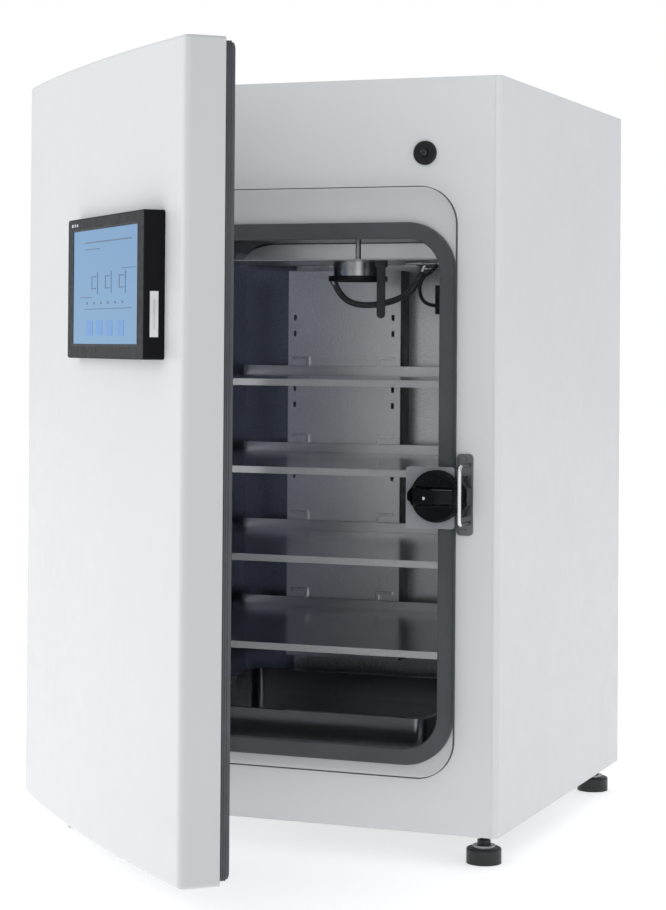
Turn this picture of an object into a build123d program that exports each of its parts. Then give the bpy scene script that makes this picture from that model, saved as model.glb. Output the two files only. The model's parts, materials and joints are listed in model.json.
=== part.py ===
from build123d import *
from math import cos, radians, sin, tan
import os

# Laboratory incubator: a painted case on four levelling feet, a stainless chamber
# with shelves behind a latched glass door, and an insulated outer door that
# carries the display.  Millimetres.  +Z is up, +X is to the right of a person
# facing the doors, the doors face -Y, and the origin is the centre of the case's
# footprint at floor level.

# ---- driving dimensions ------------------------------------------------------
CASE_W, CASE_D, CASE_H = 630.0, 602.0, 960.0
FOOT_H = 40.0
SHEET = 1.5                      # case sheet metal
FRAME_T = 3.0                    # front frame plate
CASE_EDGE_R = 8.0                # bend along the case's front edges

MOUTH_W, MOUTH_Z0, MOUTH_Z1, MOUTH_R = 478.0, 143.5, 797.0, 47.0
CHAMBER_W, CHAMBER_Z0, CHAMBER_Z1, CHAMBER_R = 492.0, 132.0, 811.0, 56.0
CHAMBER_BACK = 187.0             # inner face of the chamber's rear wall, along Y
LINER_T = 1.5
FOAM_TOP, FOAM_BOTTOM, FOAM_BACK = 858.0, 86.0, 248.0

SEAL_W, SEAL_T, SEAL_LIP = 17.0, 8.0, 2.5   # seal round the chamber mouth

SHELF_Z, SHELF_PITCH, SHELF_T = 265.0, 116.0, 9.0
SHELF_W, SHELF_FRONT, SHELF_REAR, SHELF_LIP = 474.0, -270.0, 146.0, 14.0
TRAY_W, TRAY_FRONT, TRAY_REAR, TRAY_H = 388.0, -236.0, 120.0, 40.0

DUCT_X0, DUCT_X1, DUCT_FACE, DUCT_TOP = -160.0, 20.0, 150.0, 769.5
BAFFLE_Z, BAFFLE_T = 777.0, 2.0
FAN_X, FAN_Y = 0.0, 24.0
CUP_R, RING_R, FAN_R = 35.0, 42.5, 29.0

DOOR_W, DOOR_Z0, DOOR_Z1 = 616.0, 60.0, 999.5
DOOR_EDGE_T, DOOR_BOW = 47.7, 14.9
DOOR_GAP = 13.0                  # from the front frame to the shut door's back
DOOR_SKIN = 2.0
DOOR_SEAL_T, DOOR_SEAL_W = 12.0, 15.0
DOOR_REST = 45.2                 # how far the outer door stands open at rest
DOOR_PIVOT_IN, DOOR_PIVOT_OUT = 12.35, 25.84
DOOR_HINGE_Z = (160.0, 850.0)
KNUCKLE_R, PIN_R = 6.0, 2.5

GLASS_X, GLASS_Z0, GLASS_Z1, GLASS_R, GLASS_T = 261.0, 110.0, 861.0, 50.0, 5.0
GLASS_HINGE_X, GLASS_HINGE_OUT = -268.0, 11.0
GLASS_HINGE_Z = (230.0, 740.0)

KNOB_X, KNOB_Z, KNOB_R = 239.5, 468.5, 33.0
KEEPER_X0, KEEPER_X1, KEEPER_Z0, KEEPER_Z1 = 260.0, 281.0, 418.5, 521.5
KEEPER_OUT = 43.5                # from the front frame to the striker rod's centre

SWITCH_X, SWITCH_Z, SWITCH_R = 214.0, 903.7, 15.5

DISPLAY_U0, DISPLAY_U1, DISPLAY_Z0, DISPLAY_Z1 = 277.0, 566.0, 640.0, 808.0
DISPLAY_FACE = 77.0              # display face, measured out from the door's back

FOOT_X, FOOT_FRONT, FOOT_REAR = 285.0, -260.0, 270.0
PAD_R = 22.5

FRONT = -CASE_D / 2
BACK = CASE_D / 2
SIDE = CASE_W / 2
FLOOR_Z = FOOT_H
TOP_Z = FOOT_H + CASE_H
FRAME_BACK = FRONT + FRAME_T
DOOR_BACK = FRONT - DOOR_GAP
GLASS_BACK = FRONT - SEAL_T - 0.3
GLASS_FRONT = GLASS_BACK - GLASS_T

os.makedirs("parts", exist_ok=True)


# ---- helpers -----------------------------------------------------------------
def block(x0, x1, y0, y1, z0, z1):
    return Pos((x0 + x1) / 2, (y0 + y1) / 2, (z0 + z1) / 2) * Box(x1 - x0, y1 - y0, z1 - z0)


def post(x, y, z0, z1, r):
    return Pos(x, y, (z0 + z1) / 2) * Cylinder(r, z1 - z0)


def rod_y(x, z, y0, y1, r):
    return Pos(x, (y0 + y1) / 2, z) * Rot(90, 0, 0) * Cylinder(r, y1 - y0)


def rod_x(y, z, x0, x1, r):
    return Pos((x0 + x1) / 2, y, z) * Rot(0, 90, 0) * Cylinder(r, x1 - x0)


def panel(x0, x1, z0, z1, r, y0, y1):
    """A plate in the XZ plane with rounded corners."""
    outline = RectangleRounded(x1 - x0, z1 - z0, r)
    plane = Plane(origin=((x0 + x1) / 2, y1, (z0 + z1) / 2), x_dir=(1, 0, 0), z_dir=(0, -1, 0))
    return extrude(plane * outline, amount=y1 - y0)


def save(name, *solids):
    """Write one node: one solid, or a group of separate solids."""
    shape = solids[0] if len(solids) == 1 else Compound(children=list(solids))
    shape.label = name
    export_step(shape, f"parts/{name}.step")


def tube_along(points, radius):
    """A round cord: straight runs joined by arcs as large as the runs allow."""
    vectors = [Vector(*p) for p in points]
    radii = []
    for a, b, c in zip(vectors, vectors[1:], vectors[2:]):
        turn = radians((b - a).get_angle(c - b))
        radii.append(0.45 * min((b - a).length, (c - b).length) / tan(turn / 2))
    path = FilletPolyline(*points, radius=radii)
    start = Plane(origin=path @ 0, z_dir=path % 0)
    print("cord length", round(path.length, 1), "radii", [round(r, 1) for r in radii])
    return sweep(start * Circle(radius), path=path)


# ---- case --------------------------------------------------------------------
def front_frame():
    plate = block(-SIDE + CASE_EDGE_R, SIDE - CASE_EDGE_R, FRONT, FRAME_BACK, FLOOR_Z, TOP_Z)
    mouth = panel(-MOUTH_W / 2, MOUTH_W / 2, MOUTH_Z0, MOUTH_Z1, MOUTH_R, FRONT - 1, FRAME_BACK + 1)
    switch_hole = rod_y(SWITCH_X, SWITCH_Z, FRONT - 1, FRAME_BACK + 1, 8)
    return plate - mouth - switch_hole


def side_panel(hand):
    """A flat side whose front edge bends round to meet the front frame."""
    x_out = hand * SIDE
    x_in = hand * (SIDE - SHEET)
    x_lip = hand * (SIDE - CASE_EDGE_R)
    arc_out = x_out - hand * CASE_EDGE_R * (1 - cos(radians(45)))
    arc_in = x_out - hand * (CASE_EDGE_R - (CASE_EDGE_R - SHEET) * cos(radians(45)))
    y_bend = FRONT + CASE_EDGE_R
    rise = CASE_EDGE_R * sin(radians(45))
    rise_in = (CASE_EDGE_R - SHEET) * sin(radians(45))
    edges = [
        Line((x_lip, FRONT), (x_lip, FRONT + SHEET)),
        ThreePointArc((x_lip, FRONT + SHEET), (arc_in, y_bend - rise_in), (x_in, y_bend)),
        Line((x_in, y_bend), (x_in, BACK - SHEET)),
        Line((x_in, BACK - SHEET), (x_out, BACK - SHEET)),
        Line((x_out, BACK - SHEET), (x_out, y_bend)),
        ThreePointArc((x_out, y_bend), (arc_out, y_bend - rise), (x_lip, FRONT)),
    ]
    profile = make_face(edges)
    return extrude(Pos(0, 0, FLOOR_Z) * profile, amount=CASE_H, dir=(0, 0, 1))


def level_panel(z0, z1):
    """A flat top or bottom, its front corners cut clear of the side panels' bends."""
    plate = block(-SIDE + SHEET, SIDE - SHEET, FRAME_BACK, BACK - SHEET, z0, z1)
    return chamfer(plate.edges().filter_by(Axis.Z).group_by(Axis.Y)[0], 6)


def top_panel():
    return level_panel(TOP_Z - SHEET, TOP_Z)


def bottom_pan():
    pan = level_panel(FLOOR_Z, FLOOR_Z + 2)
    for x, y in foot_places():
        pan -= post(x, y, FLOOR_Z - 1, FLOOR_Z + 3, 8)
    return pan


def rear_cover():
    cover = block(-SIDE, SIDE, BACK - SHEET, BACK, FLOOR_Z, TOP_Z)
    for row in range(9):
        for x in (-170, 170):
            z = 900 + row * 8
            cover -= block(x - 55, x + 55, BACK - 3, BACK + 1, z, z + 3.5)
    cover -= block(-272, -244, BACK - 3, BACK + 1, 126, 146)
    cover -= block(-222, -204, BACK - 3, BACK + 1, 124, 148)
    cover -= rod_y(220, 150, BACK - 3, BACK + 1, 6)
    return cover


def fixing_screws():
    """Screws of the rear cover and of the keeper, as separate solids."""
    screws = []
    for z in (60, 280, 500, 720, 880):
        for x in (-303, 303):
            screws.append(rod_y(x, z, BACK, BACK + 2.2, 4))
    for z in (KEEPER_Z0 + 6, KEEPER_Z1 - 6):
        screws.append(rod_y(270, z, FRONT - 4.2, FRONT - 1.5, 2.8))
    return screws


def insulation():
    """Foam slabs between the chamber and the case."""
    wall = CHAMBER_W / 2 + LINER_T
    in_x = SIDE - SHEET
    top = block(-wall, wall, FRAME_BACK, FOAM_BACK - 58, CHAMBER_Z1 + LINER_T, FOAM_TOP)
    top -= post(FAN_X, FAN_Y, CHAMBER_Z1, FOAM_TOP + 1, 9)
    bottom = block(-wall, wall, FRAME_BACK, FOAM_BACK - 58, FOAM_BOTTOM, CHAMBER_Z0 - LINER_T - 1.5)
    back = block(-in_x, in_x, CHAMBER_BACK + 3, FOAM_BACK, FOAM_BOTTOM, FOAM_TOP)
    sides = []
    for x0, x1 in ((-in_x, -wall), (wall, in_x)):
        sides.append(block(x0, x1, FRAME_BACK + 6, FOAM_BACK - 58, FOAM_BOTTOM, FOAM_TOP))
    return [top, bottom, back] + sides


def chamber_liner():
    half = CHAMBER_W / 2
    outer = panel(-half - LINER_T, half + LINER_T, CHAMBER_Z0 - LINER_T, CHAMBER_Z1 + LINER_T,
                  CHAMBER_R + LINER_T, FRAME_BACK, CHAMBER_BACK + LINER_T)
    inner = panel(-half, half, CHAMBER_Z0, CHAMBER_Z1, CHAMBER_R, FRAME_BACK - 1, CHAMBER_BACK)
    shaft_hole = post(FAN_X, FAN_Y, CHAMBER_Z1 - 2, CHAMBER_Z1 + 4, 8)
    return outer - inner - shaft_hole


def floor_heater():
    z1 = CHAMBER_Z0 - LINER_T
    return block(-175, 175, -240, 140, z1 - 1.2, z1)


def mouth_outline(grow, y0, y1):
    """A solid plug the shape of the case's mouth, grown by so much all round."""
    w = MOUTH_W / 2 + grow
    return panel(-w, w, MOUTH_Z0 - grow, MOUTH_Z1 + grow, MOUTH_R + grow, y0, y1)


def mouth_seal():
    """A flat seal round the mouth with a thin lip that lines the frame's edge."""
    ring = mouth_outline(SEAL_W + 1.5, FRONT - SEAL_T, FRONT)
    ring -= mouth_outline(-SEAL_LIP, FRONT - SEAL_T - 1, FRONT + 1)
    ring = fillet(ring.faces().sort_by(Axis.Y)[0].edges(), 2)
    lip = mouth_outline(0, FRONT, FRAME_BACK) - mouth_outline(-SEAL_LIP, FRONT - 1, FRAME_BACK + 1)
    return ring + lip


# ---- chamber fittings --------------------------------------------------------
def slot_cuts(x, y0, y1):
    """Pairs of shelf slots down one upright, cut along Y."""
    cuts = []
    for pair in range(5):
        for dz in (-12, 12):
            z = 259 + pair * 107 + dz
            cuts.append(block(x - 2.2, x + 2.2, y0, y1, z - 4, z + 4))
    return cuts


def rear_channel(x0, x1):
    """Folded channel on the chamber's rear wall, its open side to the wall."""
    channel = block(x0, x1, DUCT_FACE, CHAMBER_BACK, 190, DUCT_TOP)
    return channel - block(x0 + 1.5, x1 - 1.5, DUCT_FACE + 1.5, CHAMBER_BACK + 1, 189, DUCT_TOP + 1)


def rear_duct():
    duct = rear_channel(DUCT_X0, DUCT_X1)
    for x in (DUCT_X0 + 11, DUCT_X1 - 12):
        for cut in slot_cuts(x, DUCT_FACE - 1, DUCT_FACE + 6):
            duct -= cut
    return duct


def side_uprights():
    """Two slotted uprights on each side wall and one at the right of the rear wall."""
    uprights = []
    wall = CHAMBER_W / 2
    for hand in (-1, 1):
        for y in (-215, 95):
            xs = sorted((hand * (wall - 5), hand * wall))
            strip = block(xs[0], xs[1], y - 12, y + 12, 190, 755)
            for pair in range(5):
                for dz in (-12, 12):
                    z = 259 + pair * 107 + dz
                    strip -= block(xs[0] - 1, xs[1] + 1, y - 2.2, y + 2.2, z - 4, z + 4)
            uprights.append(strip)
    rear = rear_channel(146, 174)
    for cut in slot_cuts(160, DUCT_FACE - 1, DUCT_FACE + 6):
        rear -= cut
    return uprights + [rear]


def shelf_brackets():
    """An angle under each side of each shelf, and small stops hooked in the rear slots."""
    rails = []
    wall = CHAMBER_W / 2 - 5
    for n in range(4):
        z = SHELF_Z + n * SHELF_PITCH - SHELF_T
        for hand in (-1, 1):
            xs = sorted((hand * wall, hand * (wall - 1.5)))
            xf = sorted((hand * wall, hand * (wall - 16)))
            upright = block(xs[0], xs[1], -230, 112, z - 1.5, z + 13)
            foot = block(xf[0], xf[1], -230, 112, z - 1.5, z)
            rails.append(upright + foot)
    return rails + shelf_stops()


def shelf(n):
    """A pressed shelf with turned-down rims and a rear edge turned up."""
    z1 = SHELF_Z + n * SHELF_PITCH
    tray = block(-SHELF_W / 2, SHELF_W / 2, SHELF_FRONT, SHELF_REAR, z1 - SHELF_T, z1)
    tray = fillet(tray.edges().filter_by(Axis.Z), 4)
    under = block(-SHELF_W / 2 + 1.5, SHELF_W / 2 - 1.5, SHELF_FRONT + 1.5, SHELF_REAR - 1.5,
                  z1 - SHELF_T - 1, z1 - 1.5)
    lip = block(-SHELF_W / 2 + 6, SHELF_W / 2 - 6, SHELF_REAR - 1.5, SHELF_REAR, z1 - 1.5, z1 + SHELF_LIP)
    return tray - under + lip


def shelf_stops():
    """A bent strip behind each shelf's rear lip, hooked in each row of rear slots."""
    stops = []
    y0, y1 = SHELF_REAR + 0.3, DUCT_FACE
    for n in range(4):
        z = SHELF_Z + n * SHELF_PITCH
        for x, hand in ((DUCT_X0 + 11, 1), (DUCT_X1 - 12, -1), (160, -1)):
            xs = sorted((x - hand * 3, x + hand * 24))
            legs = sorted((x + hand * 19.5, x + hand * 24))
            bar = block(xs[0], xs[1], y0, y1, z + 23, z + 27.5)
            leg = block(legs[0], legs[1], y0, y1, z + 10, z + 23)
            stops.append(bar + leg)
    return stops


def water_tray():
    z0 = CHAMBER_Z0 + 1
    w = TRAY_W / 2
    body = block(-w, w, TRAY_FRONT, TRAY_REAR, z0, z0 + TRAY_H)
    body = fillet(body.edges().filter_by(Axis.Z), 14)
    hollow = block(-w + 1.5, w - 1.5, TRAY_FRONT + 1.5, TRAY_REAR - 1.5, z0 + 1.5, z0 + TRAY_H + 1)
    hollow = fillet(hollow.edges().filter_by(Axis.Z), 12.5)
    rim = block(-w - 6, w + 6, TRAY_FRONT - 6, TRAY_REAR + 6, z0 + TRAY_H - 1.5, z0 + TRAY_H)
    rim = fillet(rim.edges().filter_by(Axis.Z), 20)
    return body + rim - hollow


def ceiling_baffle():
    """A flat sheet below the ceiling with a round-cornered rear plate that has air slots."""
    sheet = block(-226, 226, -60, DUCT_FACE + 2, BAFFLE_Z, BAFFLE_Z + BAFFLE_T)
    sheet -= post(FAN_X, FAN_Y, BAFFLE_Z - 1, BAFFLE_Z + 4, 20)
    half = CHAMBER_W / 2 - 0.4
    y0, y1 = DUCT_FACE, DUCT_FACE + 2
    liner = panel(-half, half, CHAMBER_Z0, CHAMBER_Z1 - 0.4, CHAMBER_R - 0.4, y0, y1)
    arch = panel(-half - 38, half + 38, BAFFLE_Z - 200, CHAMBER_Z1 - 1.2, 103, y0, y1)
    rear = liner & arch & block(-half, half, y0, y1, BAFFLE_Z, CHAMBER_Z1)
    for x in range(-150, 11, 40):
        rear -= block(x - 14, x + 14, y0 - 1, y1 + 1, BAFFLE_Z + BAFFLE_T + 0.5, BAFFLE_Z + BAFFLE_T + 6.5)
    return sheet + rear


def fan_cup():
    z0 = BAFFLE_Z - 20
    wall = post(FAN_X, FAN_Y, z0, BAFFLE_Z, CUP_R) - post(FAN_X, FAN_Y, z0 - 1, BAFFLE_Z - 2, CUP_R - 1.5)
    return wall - post(FAN_X, FAN_Y, BAFFLE_Z - 3, BAFFLE_Z + 1, 20)


def fan_ring():
    z1 = BAFFLE_Z - 20
    ring = post(FAN_X, FAN_Y, z1 - 7.5, z1, RING_R) - post(FAN_X, FAN_Y, z1 - 9, z1 + 1, CUP_R - 1.5)
    return fillet(ring.edges().filter_by(GeomType.CIRCLE).group_by(Axis.Z)[0], 1.2)


def fan_motor():
    z0 = FOAM_TOP
    body = post(FAN_X, FAN_Y, z0, z0 + 62, 42)
    body = fillet(body.edges().group_by(Axis.Z)[-1], 5)
    for n in range(4):
        a = radians(45 + 90 * n)
        body += post(FAN_X + 46 * cos(a), FAN_Y + 46 * sin(a), z0, z0 + 5, 9)
    return body - post(FAN_X, FAN_Y, z0 - 1, z0 + 45, 4.4)


def fan_wheel():
    z0 = BAFFLE_Z - 17
    hub = post(FAN_X, FAN_Y, z0, z0 + 12, 9) - post(FAN_X, FAN_Y, z0 - 1, z0 + 13, 4)
    disc = post(FAN_X, FAN_Y, z0 + 10.5, z0 + 12, FAN_R) - post(FAN_X, FAN_Y, z0, z0 + 13, 9)
    wheel = hub + disc
    for n in range(10):
        blade = Pos(FAN_X, FAN_Y, 0) * Rot(0, 0, 36 * n) * block(8.5, FAN_R - 0.5, -0.9, 0.9, z0, z0 + 11)
        wheel += blade
    return wheel


def fan_shaft():
    return post(FAN_X, FAN_Y, BAFFLE_Z - 17, FOAM_TOP + 44, 4)


def temperature_probe():
    """A flat blade sensor hanging from the baffle, round at its tip."""
    blade = block(51, 63, -36.5, -33.5, 702, BAFFLE_Z) + rod_y(57, 702, -36.5, -33.5, 6)
    collar = block(49, 65, -40, -30, BAFFLE_Z - 9, BAFFLE_Z)
    return blade + collar


def sensor_box():
    """Gas sensor head below the baffle, on a short arm."""
    head = block(139, 172, -44, -12, 702, 742)
    head = fillet(head.edges().filter_by(Axis.Z), 5)
    return head + block(152, 164, -34, -22, 742, BAFFLE_Z)


HOSE_R, LEAD_R = 4.5, 2.6
HOSE_Y = FAN_Y - 18
HOSE_ROUTE = [
    (-28.0, HOSE_Y, 744.5), (-20.0, HOSE_Y, 729.0), (-1.0, HOSE_Y - 1, 717.0), (27.0, HOSE_Y - 2, 714.5),
    (56.0, HOSE_Y - 1, 719.5), (80.0, HOSE_Y, 729.0), (97.0, HOSE_Y, 746.0), (104.0, HOSE_Y, 763.0),
]
LEAD_ROUTE = [
    (139.0, -28.0, 714.0), (128.0, -28.0, 714.0), (115.0, -28.0, 722.0), (111.0, -28.0, 739.0),
    (117.0, -28.0, 755.0), (131.0, -28.0, 762.0), (139.0, -28.0, 772.0),
]


def barb(tip, behind, r, z_top):
    """A round stub in line with a cord's end run, cut off flat below z_top."""
    away = (Vector(*tip) - Vector(*behind)).normalized()
    stub = extrude(Plane(origin=tip, z_dir=away) * Circle(r), amount=30)
    return stub & block(tip[0] - 30, tip[0] + 30, tip[1] - 30, tip[1] + 30, tip[2] - 10, z_top)


def gas_fittings():
    """Barbs that the hose is pushed on, two rigid gas tubes and the lead's socket."""
    lower = barb(HOSE_ROUTE[0], HOSE_ROUTE[1], HOSE_R + 0.6, BAFFLE_Z - 27.5)
    upper = barb(HOSE_ROUTE[-1], HOSE_ROUTE[-2], HOSE_R + 0.6, BAFFLE_Z) + rod_x(HOSE_Y, 767, 107, 114, 4)
    lower_tube = rod_x(HOSE_Y, 767, 114, CHAMBER_W / 2 - 5, 2.6)
    upper_tube = rod_x(HOSE_Y - 14, 773.6, 84, CHAMBER_W / 2 - 5, 2.2)
    upper_tube += rod_x(HOSE_Y - 14, 773.6, 101, 110, 3.4)
    socket = barb(LEAD_ROUTE[-1], LEAD_ROUTE[-2], LEAD_R + 0.8, BAFFLE_Z)
    return [lower, upper, lower_tube, upper_tube, socket]


# ---- machine space -----------------------------------------------------------
def control_board():
    z = FOAM_TOP + 8
    board = block(-190, 190, -260, -110, z, z + 1.6)
    for x, w, h in ((-150, 40, 14), (-70, 60, 8), (20, 24, 22), (90, 46, 10), (150, 30, 18)):
        board += block(x - w / 2, x + w / 2, -215, -160, z + 1.6, z + 1.6 + h)
    for x in (-180, 180):
        for y in (-250, -120):
            board += post(x, y, FOAM_TOP, z, 3)
    return board


def power_supply():
    body = block(-160, 20, FOAM_BACK, FOAM_BACK + 40, 118, 230)
    return fillet(body.edges().filter_by(Axis.Y), 3)


def gas_valve():
    body = block(190, 250, FOAM_BACK, FOAM_BACK + 36, 190, 226)
    coil = post(220, FOAM_BACK + 18, 226, 268, 15)
    return body + coil


def gas_inlet():
    """Hose barb through the rear cover."""
    stem = rod_y(220, 150, BACK - 12, BACK + 26, 4)
    for n in range(3):
        y = BACK + 10 + n * 6
        stem += Pos(220, y, 150) * Rot(90, 0, 0) * Cone(5, 4, 5)
    flange = rod_y(220, 150, BACK, BACK + 4, 10)
    nut = rod_y(220, 150, BACK - 6.5, BACK - SHEET, 9)
    return stem + flange + nut


def power_inlet():
    """Three-pin appliance inlet and the power switch's frame, set in the rear cover."""
    body = block(-271.5, -244.5, BACK - 26, BACK + 2.5, 126.5, 145.5)
    flange = block(-282, -234, BACK, BACK + 2.5, 121, 151)
    inlet = body + flange - block(-269, -247, BACK - 16, BACK + 4, 129, 143)
    for x, z in ((-264, 134), (-258, 138), (-252, 134)):
        inlet += block(x - 1, x + 1, BACK - 16.5, BACK - 2, z - 2, z + 2)
    switch = block(-221.5, -204.5, BACK - 22, BACK + 1, 124.5, 147.5)
    switch -= block(-219.5, -206.5, BACK - 12, BACK + 3, 126.5, 145.5)
    return [inlet, switch]


def power_rocker():
    """Rocker with its two faces raised alternately about a pin along X."""
    z = 136
    drum = rod_x(BACK - 4, z, -219, -207, 6)
    wing = Pos(-213, BACK - 1.5, z) * Box(12, 3.4, 16)
    return drum + wing


# ---- door switch -------------------------------------------------------------
def switch_bezel():
    ring = rod_y(SWITCH_X, SWITCH_Z, FRONT - 4, FRONT, SWITCH_R)
    ring = fillet(ring.edges().filter_by(GeomType.CIRCLE).sort_by(Axis.Y)[0], 2)
    sleeve = rod_y(SWITCH_X, SWITCH_Z, FRONT - 1, FRONT + 22, 7.5)
    return ring + sleeve - rod_y(SWITCH_X, SWITCH_Z, FRONT - 5, FRONT + 18, 5.3)


def switch_plunger():
    stem = rod_y(SWITCH_X, SWITCH_Z, FRONT - 9, FRONT + 10, 5)
    return fillet(stem.edges().filter_by(GeomType.CIRCLE).sort_by(Axis.Y)[0], 3)


# ---- keeper on the front frame -------------------------------------------------
def keeper_plate():
    plate = panel(KEEPER_X0, KEEPER_X1, KEEPER_Z0, KEEPER_Z1, 5, FRONT - 3, FRONT)
    for z in (KEEPER_Z0 + 6, KEEPER_Z1 - 6):
        plate -= rod_y(270, z, FRONT - 4, FRONT - 1.5, 3)
    return plate


def keeper_rod():
    """A round striker rod bent back to the plate at both ends."""
    x, y = 276.5, FRONT - KEEPER_OUT
    z0, z1 = KEEPER_Z0 + 16, KEEPER_Z1 - 14
    path = FilletPolyline((x, FRONT - 3, z0), (x, y, z0), (x, y, z1), (x, FRONT - 3, z1), radius=6)
    return sweep(Plane(origin=path @ 0, z_dir=path % 0) * Circle(2.6), path=path)


def keeper_block():
    """Catch block on the keeper plate behind the striker rod, beside the knob's rim."""
    y1 = FRONT - 3
    y0 = GLASS_FRONT - 13
    near, far = KEEPER_X0 + 13, KEEPER_X1
    with BuildSketch(Plane.XZ) as outline:
        with BuildLine():
            Polyline((near, -26), (near, 26), (near + 1.5, 25))
            ThreePointArc((near + 1.5, 25), (near + 4.2, 14.5), (far, 10.5))
            Polyline((far, 10.5), (far, -10.5))
            ThreePointArc((far, -10.5), (near + 4.2, -14.5), (near + 1.5, -25))
            Line((near + 1.5, -25), (near, -26))
        make_face()
    return Pos(0, y1, KNOB_Z) * extrude(outline.sketch, amount=y1 - y0)


# ---- glass door ----------------------------------------------------------------
def glass_pane():
    return panel(-GLASS_X, GLASS_X, GLASS_Z0, GLASS_Z1, GLASS_R, GLASS_FRONT, GLASS_BACK)


def glass_pivot():
    return GLASS_HINGE_X, FRONT - GLASS_HINGE_OUT


def hinge_brackets():
    """Plates on the front frame, each with an arm and a lower knuckle, for both doors."""
    brackets = []
    x, y = glass_pivot()
    for z in GLASS_HINGE_Z:
        plate = block(x - 11, x + 7, FRONT - 2.5, FRONT, z - 25, z + 25)
        arm = block(x - 3, x + 3, y, FRONT - 2, z - 22, z - 0.5)
        knuckle = post(x, y, z - 22, z - 0.5, 4.6)
        brackets.append(plate + arm + knuckle - post(x, y, z - 23, z, 2))
    x, y = door_pivot()
    for z in DOOR_HINGE_Z:
        leaf = block(-SIDE + 8, -SIDE + 15.5, FRONT - 2.5, FRONT, z - 26, z + 26)
        arm = block(x - 3, x + 3, y, FRONT - 2, z - 24, z - 0.5)
        knuckle = post(x, y, z - 24, z - 0.5, KNUCKLE_R)
        brackets.append(leaf + arm + knuckle - post(x, y, z - 25, z, PIN_R))
    return brackets


def glass_hinge_clamps():
    """Blocks clamped on the pane's edge, each with the upper knuckle."""
    x, y = glass_pivot()
    clamps = []
    for z in GLASS_HINGE_Z:
        pad = block(-GLASS_X, -GLASS_X + 26, GLASS_FRONT - 4, GLASS_FRONT, z - 16, z + 22)
        arm = block(x - 2, -GLASS_X + 2, GLASS_FRONT - 4, GLASS_FRONT, z + 0.5, z + 22)
        knuckle = post(x, y, z + 0.5, z + 22, 4.6)
        clamps.append(pad + arm + knuckle - post(x, y, z, z + 23, 2.15))
    return clamps


def knob_plate():
    plate = panel(196.5, GLASS_X, 427, 505, 4, GLASS_FRONT - 3, GLASS_FRONT)
    return plate - rod_y(KNOB_X, KNOB_Z, GLASS_FRONT - 4, GLASS_FRONT + 1, 6.2)


def latch_knob():
    """Round turn-knob with a domed face, a raised grip across it and a pointer."""
    y1 = GLASS_FRONT - 3.4
    y0 = y1 - 12
    disc = rod_y(KNOB_X, KNOB_Z, y0, y1, KNOB_R)
    disc = fillet(disc.edges().filter_by(GeomType.CIRCLE).sort_by(Axis.Y)[0], 2)
    spigot = rod_y(KNOB_X, KNOB_Z, y1 - 1, y1 + 3, 5.8)
    cut = Pos(KNOB_X, y0 + 62, KNOB_Z) * Sphere(74)
    grip = block(KNOB_X - 31, KNOB_X + 31, y0 - 13, y0 + 1, KNOB_Z - 8, KNOB_Z + 8)
    grip = grip & cut
    pointer = block(KNOB_X - 38, KNOB_X - 28, y0 + 2, y1, KNOB_Z - 5, KNOB_Z + 5)
    return disc + spigot + grip + pointer


# ---- outer door ----------------------------------------------------------------
# The door is drawn shut: u runs from its hinge edge to its free edge and v runs
# out from its back face.  place_door() then opens it to where it rests.
def door_pivot():
    return -SIDE + DOOR_PIVOT_IN, FRONT - DOOR_PIVOT_OUT


def door_x(u):
    return -DOOR_W / 2 + u


def door_y(v):
    return DOOR_BACK - v


def door_block(u0, u1, v0, v1, z0, z1):
    return block(door_x(u0), door_x(u1), door_y(v1), door_y(v0), z0, z1)


def place_door(solid):
    x, y = door_pivot()
    return solid.rotate(Axis((x, y, 0), (0, 0, 1)), -DOOR_REST)


def door_body(inset, z0, z1, back):
    """The door's bowed outline in plan, shrunk by inset, as one solid."""
    x0, x1 = door_x(inset), door_x(DOOR_W - inset)
    y_back, y_edge = door_y(back), door_y(DOOR_EDGE_T - inset)
    y_mid = door_y(DOOR_EDGE_T + DOOR_BOW - inset)
    edges = [
        Line((x0, y_back), (x0, y_edge)),
        ThreePointArc((x0, y_edge), (0, y_mid), (x1, y_edge)),
        Line((x1, y_edge), (x1, y_back)),
        Line((x1, y_back), (x0, y_back)),
    ]
    face = make_face(edges)
    corners = face.vertices().group_by(Axis.Y)[0].sort_by(Axis.X)
    face = fillet([corners[0]], 12 - inset)
    face = fillet([face.vertices().group_by(Axis.X)[-1].sort_by(Axis.Y)[0]], 8 - inset)
    return extrude(Pos(0, 0, z0) * face, amount=z1 - z0, dir=(0, 0, 1))


def hinge_notches(margin):
    """Room at the door's hinge edge for the knuckles and the fixed arms."""
    notches = []
    for z in DOOR_HINGE_Z:
        notches.append(door_block(-1, 14.5 + margin, -1, 23 + margin, z - 29 - margin, z + 29 + margin))
    return notches


POCKET = (504.0, 597.0, 406.0, 534.0)      # u0, u1, z0, z1 of the latch pocket
POCKET_V = 39.5
RECESS_V = 13.5
RECESS = (29.0, 590.0, 90.0, 970.0)


def door_shell():
    body = door_body(0, DOOR_Z0, DOOR_Z1, 0)
    front_edges = body.faces().group_by(Axis.Z)[-1].edges() + body.faces().group_by(Axis.Z)[0].edges()
    outer = [e for e in front_edges if e.center().Y < door_y(DOOR_EDGE_T - 4)]
    body = fillet(outer, 4)
    body -= door_body(DOOR_SKIN, DOOR_Z0 + DOOR_SKIN, DOOR_Z1 - DOOR_SKIN, -1)
    for notch in hinge_notches(0):
        body -= notch
    return body


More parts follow.
